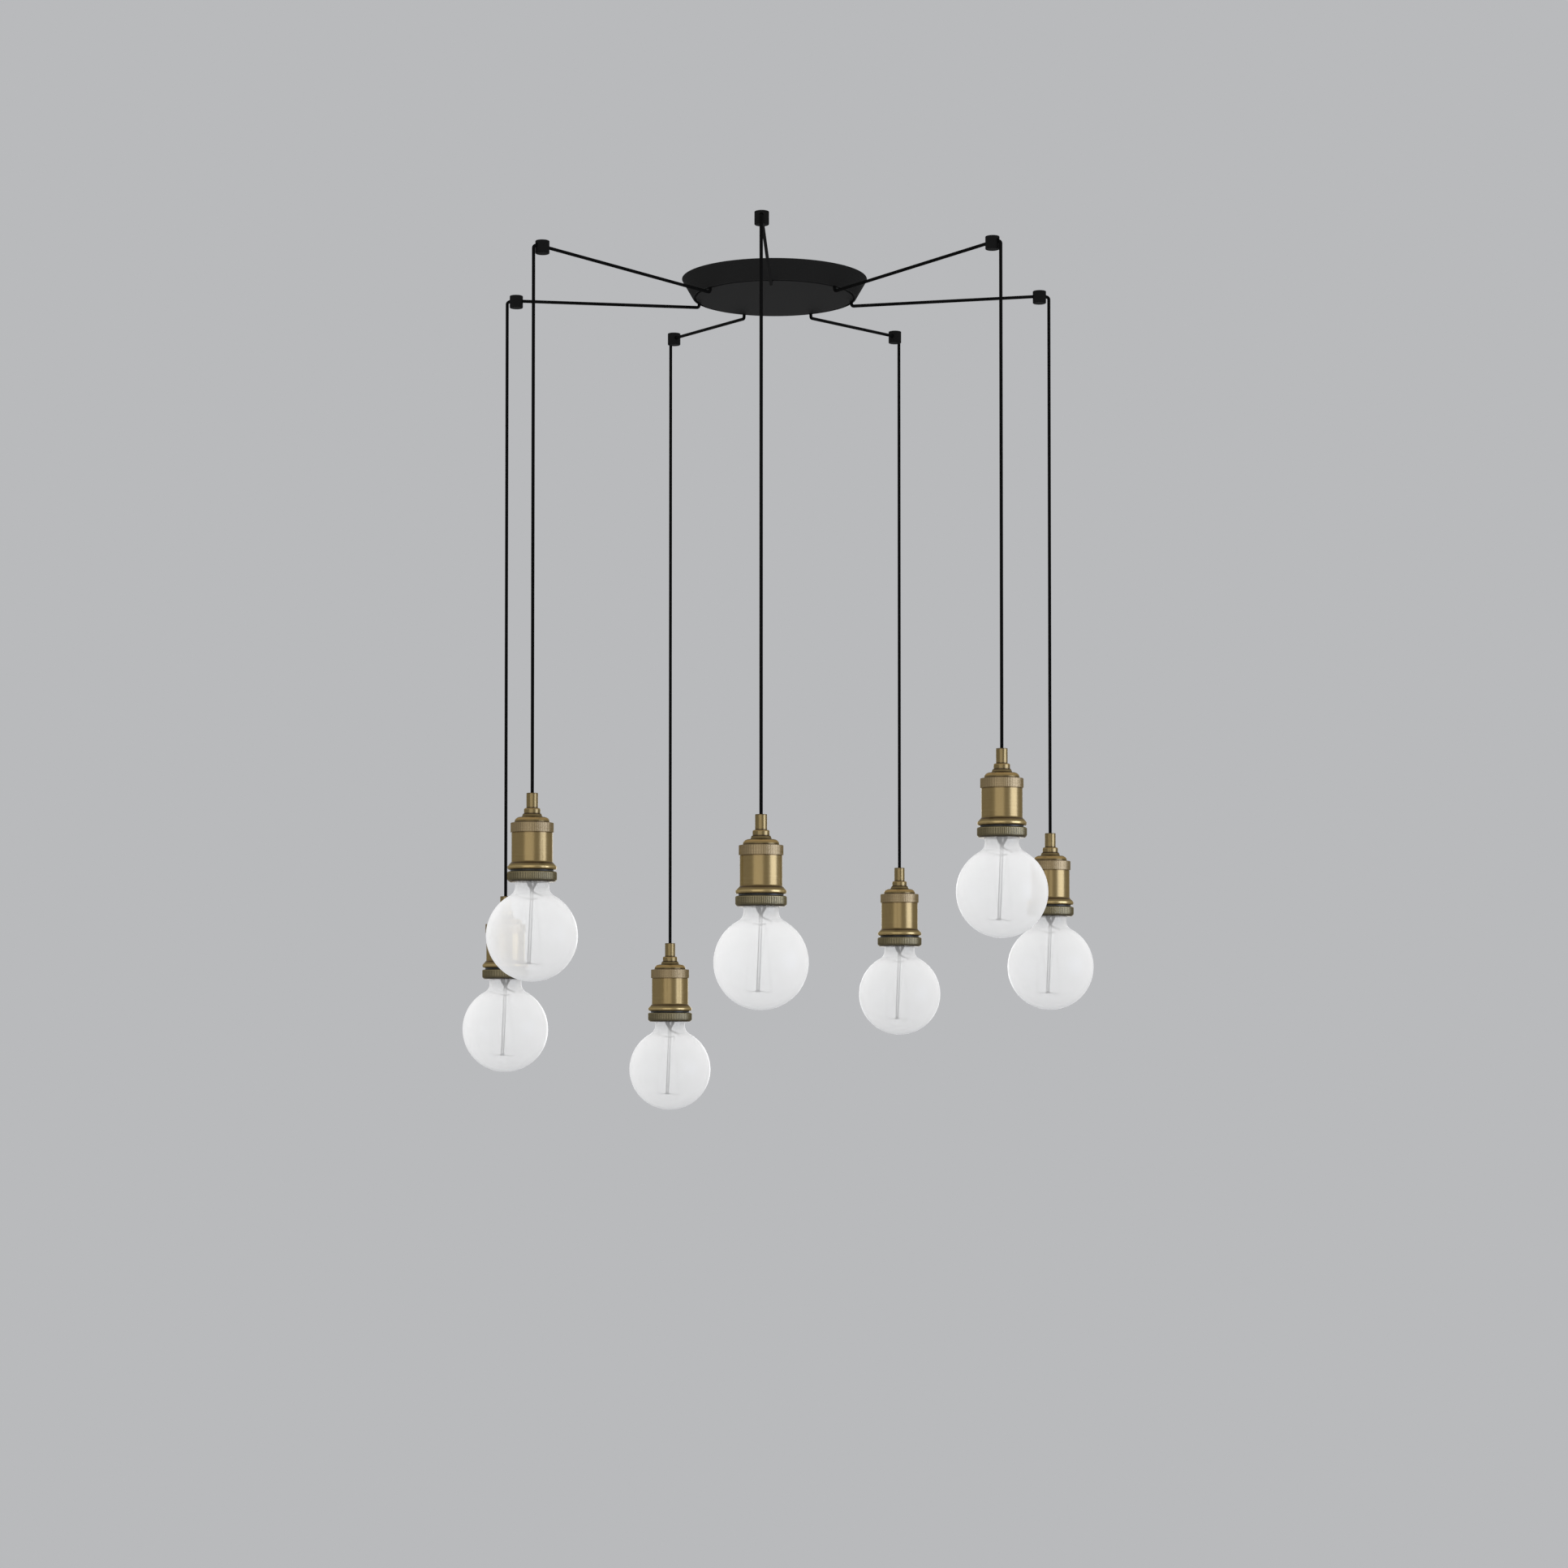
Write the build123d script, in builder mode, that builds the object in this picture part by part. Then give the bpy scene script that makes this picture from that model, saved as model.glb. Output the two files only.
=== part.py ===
from build123d import *
from math import asin, atan2, cos, degrees, hypot, pi, radians, sin
import os

os.makedirs("parts", exist_ok=True)

# A ceiling light of seven bare bulbs. A flat round canopy sits at the centre, and a cord runs from
# it to a hook on a circle around it, goes over the hook and drops to a brass lamp holder.
# Millimetres. The origin is the middle of the canopy's ceiling face, +Z is up, and depth counts
# down from the ceiling. Hook 1 is nearest the viewer, at -Y, and the rest follow towards +X.

# The layout on the ceiling
lamp_count = 7
hook_circle_radius = 300.0

# How far below the ceiling the top of each lamp holder hangs, hook 1 first
holder_depths = [609.5, 533.9, 604.8, 631.4, 719.5, 673.7, 578.5]

# Cord
cord_diameter = 3.5
cord_clearance = 0.35
cord_exit_offset = 0.2
cord_inner_depth = 12.0
cord_lip_drop = 5.2
canopy_bend_radius = 3.8
hook_bend_radius = 3.5
hook_turn_depth = 4.9
cord_hang_offset = 10.8
run_end_depth = 9.2
swing_gap = 0.4
cord_holder_clearance = 0.15

# Cover, a flat disc held up by magnets. The canopy and what is in it follow its radius.
cover_radius = 86.0
cover_thickness = 2.2
cover_proud = 0.5
cover_edge_radius = 0.4

# Canopy shell, a spun steel cone open to the ceiling
cover_lip_gap = 3.6
canopy_flare = 11.9
canopy_height = 20.5
canopy_wall = 1.2
ledge_width = 6.0
ledge_wall = 1.2

# Ceiling bracket, a plate with three riveted pillars
bracket_gap = 5.0
bracket_thickness = 2.0
mains_hole_radius = 8.0
fixing_spacing = 110.0
fixing_hole_radius = 2.6
pillar_count = 3
pillar_radius = 4.0
pillar_inset = 9.0
magnet_radius = 5.0
magnet_thickness = 2.0

# Terminal block with two terminals for each lamp
block_radius = 27.0
block_height = 12.0
block_bore_radius = 10.0
terminal_side = 3.0
terminal_screw_radius = 1.6
terminal_screw_length = 4.2
terminal_circle_radius = 19.0
entry_depth = 5.0
entry_length = 8.0
fit_clearance = 0.1

# Two insulated leads in each cord, and the bush that grips the cord
lead_radius = 0.7
lead_side = 0.85
lead_bend_radius = 3.0
lead_fan_radius = 12.0
lead_fan_length = 8.0
bush_radius = 3.3
bush_height = 3.0

# Ceiling hook: a base that is screwed to the ceiling and a cap that holds the cord
hook_base_radius = 5.6
hook_base_thickness = 2.4
hook_screw_radius = 1.8
hook_sink_radius = 3.4
hook_cap_radius = 7.4
hook_cap_height = 13.5
hook_cap_gap = 0.3
hook_cap_edge = 0.9
hook_base_clearance = 0.12

# Holder top: stem, collar, foot and dome, turned from one piece of brass with a knurled band
stem_radius = 6.0
stem_length = 15.7
stem_edge = 0.4
collar_radius = 8.5
collar_length = 5.8
collar_edge = 1.6
foot_top_radius = 9.5
foot_radius = 11.0
foot_length = 3.5
dome_step = 3.85
dome_length = 6.0
dome_round = 5.5
band_clearance = 0.1
band_length = 10.0
band_edge = 0.5
band_wall = 0.9
top_wall = 1.2

# Holder sleeve with a rolled bead at its foot
sleeve_clearance = 0.7
sleeve_wall = 1.0
sleeve_length = 30.4
neck_round = 4.0
bead_rise = 4.15
bead_length = 8.6
bead_height = 4.4
bead_round = 1.9
bead_foot_inset = 2.85
sleeve_top_gap = 0.2

# Socket insert: moulded body, brass screw shell and centre contact
insert_wall = 5.7
insert_headroom = 5.0
insert_floor = 10.0
insert_flange_overhang = 2.9
insert_flange = 1.4
insert_skirt = 6.6
insert_lip_wall = 2.4
insert_mouth = 4.0
cap_clearance = 0.32
shell_wall = 0.4
shell_clearance = 0.15
shell_top_gap = 4.0
contact_radius = 3.0
contact_length = 2.5

# Shade ring, screwed on the insert's skirt
ring_overhang = 0.25
ring_height = 10.7
ring_clearance = 0.3
ring_top_edge = 1.4
ring_bottom_edge = 3.6
ring_lip_inset = 1.6
ring_lip = 2.9

# Bulb envelope, blown glass with a drawn neck
bulb_radius = 47.5
neck_ring_gap = 0.8
bulb_neck_length = 4.6
bulb_shoulder = 8.1
glass_wall = 0.8
cap_neck_inset = 0.9
cap_neck_top = 12.0
neck_cone_length = 6.5

# Glass stem inside the bulb
stem_flare_clearance = 0.4
stem_flare = 2.0
stem_flare_drop = 1.0
stem_tube_radius = 4.5
stem_press_length = 5.0
stem_press_drop = 0.7
rod_radius = 1.8
rod_foot_gap = 15.4
rod_end_radius = 2.3
rod_end = 2.4

# Bulb base: screw cap, insulator, tip and the wires inside the bulb. The holder's radii, from the
# socket's shell out to the ring, follow the cap's thread.
thread_crest_radius = 13.03
thread_depth = 0.93
thread_pitch = 3.63
thread_turns = 5
cap_rim_overhang = 1.12
cap_rim = 1.7
cap_wall = 0.5
cap_rim_gap = 0.3
insulator_inset = 0.8
insulator_height = 3.4
tip_radius = 4.8
tip_height = 2.2
tip_edge = 1.2
contact_gap = 0.3
wire_radius = 0.3
wire_start_drop = 8.5
wire_end_drop = 15.5
wire_reach = 11.0
wire_bend = 2.0
upper_spider_drop = 18.6
upper_spider_reach = 5.2
lower_spider_rise = 3.1
lower_spider_reach = 12.0
spider_arms = 4
wire_gap = 0.15
filament_radius = 0.12
filament_bend = 0.3
filament_overrun = 2.0

# Places that follow from the sizes
cord_radius = cord_diameter / 2
cord_hole_radius = cord_radius + cord_clearance
lamp_step = 360 / lamp_count
hook_angles = [lamp_step * k for k in range(lamp_count)]
cord_hang_radius = hook_circle_radius + cord_hang_offset
cord_exit_radius = cover_radius + cord_exit_offset
cord_low_depth = canopy_height + cord_lip_drop
drop_start_depth = run_end_depth + swing_gap
first_local_angle = 90
pillar_local_angle = first_local_angle - 1.5 * lamp_step

canopy_lip_radius = cover_radius + cover_lip_gap
canopy_rim_radius = canopy_lip_radius + canopy_flare
ledge_inner_radius = cover_radius - ledge_width
bracket_radius = ledge_inner_radius - bracket_gap
pillar_circle_radius = bracket_radius - pillar_inset
cover_bottom = canopy_height + cover_proud
cover_top = cover_bottom - cover_thickness
ledge_top = cover_top - ledge_wall
canopy_slope = canopy_flare / canopy_height
canopy_wall_across = canopy_wall * hypot(1, canopy_slope)
pillar_length = cover_top - magnet_thickness - bracket_thickness
block_apothem = block_radius * cos(pi / lamp_count)
lead_depth = bracket_thickness + entry_depth

thread_root_radius = thread_crest_radius - thread_depth
cap_rim_radius = thread_crest_radius + cap_rim_overhang
insulator_radius = thread_root_radius - insulator_inset
cap_neck_radius = thread_root_radius - cap_neck_inset
stem_flare_radius = cap_neck_radius - glass_wall - stem_flare_clearance
shell_inner_radius = thread_crest_radius + cap_clearance
insert_bore_radius = shell_inner_radius + shell_wall + shell_clearance
insert_radius = insert_bore_radius + insert_wall
insert_mouth_radius = insert_radius - insert_lip_wall
insert_flange_radius = insert_radius + insert_flange_overhang
sleeve_inner_radius = insert_radius + sleeve_clearance
sleeve_radius = sleeve_inner_radius + sleeve_wall
bead_radius = sleeve_radius + bead_rise
bead_foot_radius = bead_radius - bead_foot_inset
band_inner_radius = sleeve_radius + band_clearance
band_radius = band_inner_radius + band_wall
dome_radius = band_radius - dome_step
ring_radius = bead_radius + ring_overhang
ring_thread_radius = insert_radius + ring_clearance
ring_lip_radius = ring_thread_radius - ring_lip_inset
bulb_neck_radius = ring_lip_radius - neck_ring_gap

collar_top = stem_length
foot_top = collar_top + collar_length
dome_top = foot_top + foot_length
band_top = dome_top + dome_length
band_bottom = band_top + band_length
sleeve_top = band_top + top_wall + sleeve_top_gap
sleeve_neck = band_bottom + sleeve_length
sleeve_bottom = sleeve_neck + bead_length
insert_top = band_bottom + insert_headroom
insert_floor_bottom = insert_top + insert_floor
flange_bottom = sleeve_bottom + insert_flange
insert_bottom = flange_bottom + insert_skirt
mouth_top = insert_bottom - insert_mouth
contact_bottom = insert_floor_bottom + contact_length
ring_top = flange_bottom + ring_clearance
ring_bottom = ring_top + ring_height
cord_end_local = insert_top - ring_clearance

bulb_centre = ring_bottom + bulb_shoulder + bulb_radius
rod_length = bulb_shoulder + 2 * bulb_radius - rod_foot_gap
lower_spider_drop = rod_length - lower_spider_rise
neck_bottom = ring_bottom + bulb_neck_length
cap_rim_top = mouth_top + cap_rim_gap
cap_rim_bottom = cap_rim_top + cap_rim
cap_neck_end = cap_rim_top
cap_neck_start = cap_rim_top - cap_neck_top
neck_cone_end = cap_neck_end + neck_cone_length
tip_top = contact_bottom + contact_gap
insulator_top = tip_top + tip_height
thread_top = insulator_top + insulator_height

# The neck flows into the globe on an arc that touches both
globe_drop = bulb_centre - neck_bottom
flare_radius = (bulb_neck_radius**2 + globe_drop**2 - bulb_radius**2) / (2 * (bulb_radius - bulb_neck_radius))
flare_centre = (bulb_neck_radius + flare_radius, neck_bottom)
flare_angle = atan2(globe_drop, flare_centre[0])

DOWN = (0, 0, -1)


def radial(angle):
    """Outward direction of a hook's angle, counted from -Y towards +X."""
    return Vector(sin(radians(angle)), -cos(radians(angle)), 0)


def tangent(angle):
    return Vector(cos(radians(angle)), sin(radians(angle)), 0)


def section(angle, radius=0, depth=0):
    """Upright plane through a hook's angle: x is outward and y is depth, from a point on it."""
    point = radial(angle) * radius + Vector(0, 0, -depth)
    return Plane(origin=point, x_dir=radial(angle), z_dir=tangent(angle))


def level(depth, radius=0, angle=0):
    """Horizontal plane at a depth, facing down."""
    return Plane(origin=radial(angle) * radius + Vector(0, 0, -depth), x_dir=(1, 0, 0), z_dir=DOWN)


def facing(angle, radius, depth, side=0):
    """Upright plane that faces outward at a hook's angle."""
    point = radial(angle) * radius + tangent(angle) * side + Vector(0, 0, -depth)
    return Plane(origin=point, x_dir=tangent(angle), z_dir=radial(angle))


def down_axis(plane):
    return Axis(plane.origin, DOWN)


def rounded_outline(corners):
    """Closed line through (radius, depth, rounding) corners."""
    points = [(radius, depth) for radius, depth, rounding in corners]
    FilletPolyline(*points, radius=[rounding for radius, depth, rounding in corners], close=True)


def turned(plane, corners):
    """Solid of revolution about the plane's own origin, added to the part that is being built."""
    with BuildSketch(plane) as profile:
        with BuildLine():
            rounded_outline(corners)
        make_face()
    revolve(profile.sketch, axis=down_axis(plane))


def finish(part, label):
    part.label = label
    export_step(part, f"parts/{label}.step")


# Canopy
with BuildPart() as canopy_shell:
    turned(
        section(0),
        [
            (canopy_rim_radius, 0, 0),
            (canopy_lip_radius, canopy_height, 0),
            (canopy_lip_radius - canopy_wall_across, canopy_height, 0),
            (canopy_rim_radius - canopy_slope * cover_top - canopy_wall_across, cover_top, 0),
            (ledge_inner_radius, cover_top, 0),
            (ledge_inner_radius, ledge_top, 0),
            (canopy_rim_radius - canopy_slope * ledge_top - canopy_wall_across, ledge_top, 0),
            (canopy_rim_radius - canopy_wall_across, 0, 0),
        ],
    )
    with BuildSketch(level(ledge_top)):
        with PolarLocations(cord_exit_radius, lamp_count, start_angle=first_local_angle):
            Circle(cord_hole_radius)
    extrude(amount=ledge_wall, mode=Mode.SUBTRACT)
finish(canopy_shell.part, "canopy_shell")

with BuildPart() as canopy_cover:
    with BuildSketch(level(cover_top)):
        Circle(cover_radius)
    extrude(amount=cover_thickness)
    fillet(canopy_cover.edges().group_by(Axis.Z)[0], cover_edge_radius)
    with BuildSketch(level(cover_top)):
        with PolarLocations(cord_exit_radius, lamp_count, start_angle=first_local_angle):
            Circle(cord_hole_radius)
    extrude(amount=cover_thickness, mode=Mode.SUBTRACT)
finish(canopy_cover.part, "canopy_cover")

with BuildPart() as bracket_plate:
    with BuildSketch(level(0)):
        Circle(bracket_radius)
        Circle(mains_hole_radius, mode=Mode.SUBTRACT)
        with GridLocations(fixing_spacing, 0, 2, 1):
            Circle(fixing_hole_radius, mode=Mode.SUBTRACT)
    extrude(amount=bracket_thickness)

with BuildPart() as bracket_pillars:
    with BuildSketch(level(bracket_thickness)):
        with PolarLocations(pillar_circle_radius, pillar_count, start_angle=pillar_local_angle):
            Circle(pillar_radius)
    extrude(amount=pillar_length)
finish(Compound(bracket_plate.solids() + bracket_pillars.solids()), "ceiling_bracket")

with BuildPart() as cover_magnets:
    with BuildSketch(level(cover_top - magnet_thickness)):
        with PolarLocations(pillar_circle_radius, pillar_count, start_angle=pillar_local_angle):
            Circle(magnet_radius)
    extrude(amount=magnet_thickness)
finish(cover_magnets.part, "cover_magnets")

# Wiring inside the canopy
terminal_turn = degrees(asin(terminal_side / terminal_circle_radius))
terminal_angles = [angle + turn for angle in hook_angles for turn in (-terminal_turn, terminal_turn)]
block_bottom = bracket_thickness + block_height
terminal_head = block_bottom - terminal_screw_length

with BuildPart() as terminal_block:
    with BuildSketch(level(bracket_thickness)):
        RegularPolygon(block_radius, lamp_count, rotation=first_local_angle - lamp_step / 2)
        Circle(block_bore_radius, mode=Mode.SUBTRACT)
    extrude(amount=block_height)
    for angle in hook_angles:
        for side in (-terminal_side, terminal_side):
            with BuildSketch(facing(angle, block_apothem, lead_depth, side)):
                Circle(lead_radius + fit_clearance)
            extrude(amount=-entry_length, mode=Mode.SUBTRACT)
    for angle in terminal_angles:
        with BuildSketch(level(terminal_head, terminal_circle_radius, angle)):
            Circle(terminal_screw_radius + fit_clearance)
        extrude(amount=terminal_screw_length, mode=Mode.SUBTRACT)
finish(terminal_block.part, "terminal_block")

with BuildPart() as terminal_screws:
    for angle in terminal_angles:
        with BuildSketch(level(terminal_head, terminal_circle_radius, angle)):
            Circle(terminal_screw_radius)
        extrude(amount=terminal_screw_length)
finish(terminal_screws.part, "terminal_screws")


def lead_point(angle, radius, depth, side):
    return radial(angle) * radius + tangent(angle) * side + Vector(0, 0, -depth)


with BuildPart() as inner_leads:
    for angle in hook_angles:
        for hand in (-1, 1):
            fan_start = block_apothem + lead_fan_length
            lead_end = block_apothem - entry_length + fit_clearance
            with BuildLine() as lead_route:
                FilletPolyline(
                    lead_point(angle, cord_exit_radius, cord_inner_depth, hand * lead_side),
                    lead_point(angle, cord_exit_radius, lead_depth, hand * lead_side),
                    lead_point(angle, fan_start, lead_depth, hand * terminal_side),
                    lead_point(angle, lead_end, lead_depth, hand * terminal_side),
                    radius=[lead_bend_radius, lead_fan_radius],
                )
            with BuildSketch(Plane(origin=lead_route.line @ 0, z_dir=lead_route.line % 0)):
                Circle(lead_radius)
            sweep()
finish(inner_leads.part, "inner_leads")

with BuildPart() as cord_bushes:
    with BuildSketch(level(ledge_top - bush_height)):
        with PolarLocations(cord_exit_radius, lamp_count, start_angle=first_local_angle):
            Circle(bush_radius)
            Circle(cord_radius + cord_holder_clearance, mode=Mode.SUBTRACT)
    extrude(amount=bush_height)
finish(cord_bushes.part, "cord_bushes")

# Cord from the canopy up to each hook and over it: down through the cover's notch, one bend
# outward, one taut run to the hook, and one bend down
cord_route = [
    (cord_exit_radius, cord_inner_depth),
    (cord_exit_radius, cord_low_depth),
    (cord_hang_radius, hook_turn_depth),
    (cord_hang_radius, run_end_depth),
]
cord_bends = [canopy_bend_radius, hook_bend_radius]

with BuildPart() as cord_runs:
    for angle in hook_angles:
        with BuildLine(section(angle)) as run_route:
            FilletPolyline(*cord_route, radius=cord_bends)
        with BuildSketch(Plane(origin=run_route.line @ 0, z_dir=run_route.line % 0)):
            Circle(cord_radius)
        sweep()
finish(cord_runs.part, "cord_runs")
cord_section = pi * cord_radius**2
run_length = sum(edge.length for edge in run_route.edges())
print("cord run arc radii", cord_bends, "run length", round(run_length, 1))
full_volume = lamp_count * cord_section * run_length
print("volume of the runs over section times length", round(cord_runs.part.volume / full_volume, 6))

# Ceiling hooks
with BuildPart() as hook_bases:
    for angle in hook_angles:
        turned(
            section(angle, hook_circle_radius),
            [
                (hook_screw_radius, 0, 0),
                (hook_base_radius, 0, 0),
                (hook_base_radius, hook_base_thickness, 0),
                (hook_sink_radius, hook_base_thickness, 0),
                (hook_screw_radius, hook_base_thickness - hook_sink_radius + hook_screw_radius, 0),
            ],
        )
finish(hook_bases.part, "hook_bases")

cap_bottom = hook_cap_gap + hook_cap_height
cap_cavity_radius = hook_base_radius + hook_base_clearance
cap_cavity_bottom = hook_base_thickness + hook_base_clearance
run_rise = (cord_low_depth - hook_turn_depth) / (cord_hang_radius - cord_exit_radius)
bore_depth = hook_turn_depth + run_rise * cord_hang_offset

with BuildPart() as hook_caps:
    for angle in hook_angles:
        plane = section(angle, hook_circle_radius)
        turned(
            plane,
            [
                (0, cap_cavity_bottom, 0),
                (cap_cavity_radius, cap_cavity_bottom, 0),
                (cap_cavity_radius, hook_cap_gap, 0),
                (hook_cap_radius, hook_cap_gap, hook_cap_edge / 2),
                (hook_cap_radius, cap_bottom, hook_cap_edge),
                (0, cap_bottom, 0),
            ],
        )
        bore_middle = radial(angle) * hook_circle_radius + Vector(0, 0, -bore_depth)
        bore_direction = radial(angle) + Vector(0, 0, run_rise)
        with BuildSketch(Plane(origin=bore_middle, z_dir=bore_direction)):
            Circle(cord_hole_radius)
        extrude(amount=cord_hang_offset, both=True, mode=Mode.SUBTRACT)
finish(hook_caps.part, "hook_caps")


def glass_arcs(offset):
    """Outer (offset 0) or inner line of the envelope from the neck down to the foot of the globe."""
    radius = flare_radius + offset
    globe = bulb_radius - offset
    start = (bulb_neck_radius - offset, neck_bottom)
    middle_angle = flare_angle / 2
    middle = (flare_centre[0] - radius * cos(middle_angle), neck_bottom + radius * sin(middle_angle))
    touch = (flare_centre[0] - radius * cos(flare_angle), neck_bottom + radius * sin(flare_angle))
    side = (globe, bulb_centre)
    foot_angle = pi / 4
    foot_middle = (globe * cos(foot_angle), bulb_centre + globe * sin(foot_angle))
    shoulder_angle = flare_angle / 2
    shoulder = (globe * cos(shoulder_angle), bulb_centre - globe * sin(shoulder_angle))
    foot = (0, bulb_centre + globe)
    return start, middle, touch, shoulder, side, foot_middle, foot


def glass_line(offset):
    start, middle, touch, shoulder, side, foot_middle, foot = glass_arcs(offset)
    Polyline(
        (cap_neck_radius - offset, cap_neck_start),
        (cap_neck_radius - offset, cap_neck_end),
        (bulb_neck_radius - offset, neck_cone_end),
        start,
    )
    ThreePointArc(start, middle, touch)
    ThreePointArc(touch, shoulder, side)
    ThreePointArc(side, foot_middle, foot)


def make_holder_top(plane):
    with BuildPart() as holder_top:
        bore = cord_radius + cord_holder_clearance
        turned(
            plane,
            [
                (bore, 0, 0),
                (stem_radius, 0, stem_edge),
                (stem_radius, collar_top, 0),
                (collar_radius, collar_top, collar_edge),
                (collar_radius, foot_top, 0),
                (foot_top_radius, foot_top, 0),
                (foot_radius, dome_top, 0),
                (dome_radius, dome_top, dome_round),
                (dome_radius, band_top, 0),
                (band_radius, band_top, band_edge),
                (band_radius, band_bottom, band_edge / 2),
                (band_inner_radius, band_bottom, 0),
                (band_inner_radius, band_top + top_wall, 0),
                (dome_radius - top_wall, band_top + top_wall, 0),
                (dome_radius - top_wall, dome_top + top_wall, dome_round - top_wall),
                (bore, dome_top + top_wall, 0),
            ],
        )
    return holder_top.part


def make_holder_sleeve(plane):
    with BuildPart() as holder_sleeve:
        turned(
            plane,
            [
                (sleeve_inner_radius, sleeve_top, 0),
                (sleeve_radius, sleeve_top, 0),
                (sleeve_radius, sleeve_neck, neck_round),
                (bead_radius, sleeve_bottom - bead_height, bead_round),
                (bead_radius, sleeve_bottom - bead_round / 2, bead_round / 2),
                (bead_foot_radius, sleeve_bottom, 0),
                (sleeve_inner_radius, sleeve_bottom, 0),
            ],
        )
    return holder_sleeve.part


def make_socket_insert(plane):
    with BuildPart() as socket_insert:
        turned(
            plane,
            [
                (0, insert_top, 0),
                (insert_radius, insert_top, 0),
                (insert_radius, sleeve_bottom, 0),
                (insert_flange_radius, sleeve_bottom, 0),
                (insert_flange_radius, flange_bottom, 0),
                (insert_radius, flange_bottom, 0),
                (insert_radius, insert_bottom, 0),
                (insert_mouth_radius, insert_bottom, 0),
                (insert_mouth_radius, mouth_top, 0),
                (insert_bore_radius, mouth_top, 0),
                (insert_bore_radius, insert_floor_bottom, 0),
                (0, insert_floor_bottom, 0),
            ],
        )
        turned(
            plane,
            [
                (shell_inner_radius, insert_floor_bottom + shell_top_gap, 0),
                (shell_inner_radius + shell_wall, insert_floor_bottom + shell_top_gap, 0),
                (shell_inner_radius + shell_wall, mouth_top, 0),
                (shell_inner_radius, mouth_top, 0),
            ],
        )
        turned(
            plane,
            [
                (0, insert_floor_bottom, 0),
                (contact_radius, insert_floor_bottom, 0),
                (contact_radius, contact_bottom, 0),
                (0, contact_bottom, 0),
            ],
        )
    return socket_insert.part


def make_shade_ring(plane):
    with BuildPart() as shade_ring:
        turned(
            plane,
            [
                (ring_thread_radius, ring_top, 0),
                (ring_radius, ring_top, ring_top_edge),
                (ring_radius, ring_bottom, ring_bottom_edge),
                (ring_lip_radius, ring_bottom, 0),
                (ring_lip_radius, ring_bottom - ring_lip, 0),
                (ring_thread_radius, ring_bottom - ring_lip, 0),
            ],
        )
    return shade_ring.part


def make_bulb_glass(plane):
    press_top = ring_bottom + stem_press_drop
    press_bottom = press_top + stem_press_length
    rod_bottom = ring_bottom + rod_length
    flare_top = cap_neck_start + stem_flare_drop
    with BuildPart() as bulb_glass:
        with BuildSketch(plane):
            with BuildLine():
                glass_line(0)
                glass_line(glass_wall)
                Line((cap_neck_radius, cap_neck_start), (cap_neck_radius - glass_wall, cap_neck_start))
                Line((0, bulb_centre + bulb_radius), (0, bulb_centre + bulb_radius - glass_wall))
            make_face()
        revolve(axis=down_axis(plane))
        turned(
            plane,
            [
                (0, flare_top, 0),
                (stem_flare_radius, flare_top, 0),
                (stem_flare_radius, flare_top + stem_flare, 0),
                (stem_tube_radius, flare_top + stem_flare, 0),
                (stem_tube_radius, press_top, 0),
                (rod_radius, press_bottom, 0),
                (rod_radius, rod_bottom - rod_end, 0),
                (rod_end_radius, rod_bottom - rod_end, (rod_end_radius - rod_radius) / 2),
                (rod_end_radius, rod_bottom, rod_end / 4),
                (0, rod_bottom, 0),
            ],
        )
    return bulb_glass.part


def thread_line():
    """Rounded screw thread from its top down, as a crest and a root for each turn."""
    middle = (thread_crest_radius + thread_root_radius) / 2
    for turn in range(thread_turns):
        start = thread_top + turn * thread_pitch
        half = start + thread_pitch / 2
        ThreePointArc((middle, start), (thread_crest_radius, start + thread_pitch / 4), (middle, half))
        end = start + thread_pitch
        ThreePointArc((middle, half), (thread_root_radius, half + thread_pitch / 4), (middle, end))
    return middle


def bent_wire(points, bends, radius):
    with BuildLine() as wire_route:
        FilletPolyline(*points, radius=bends)
    with BuildSketch(Plane(origin=wire_route.line @ 0, z_dir=wire_route.line % 0)) as wire_end:
        Circle(radius)
    sweep(wire_end.sketch, path=wire_route.line)


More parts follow.
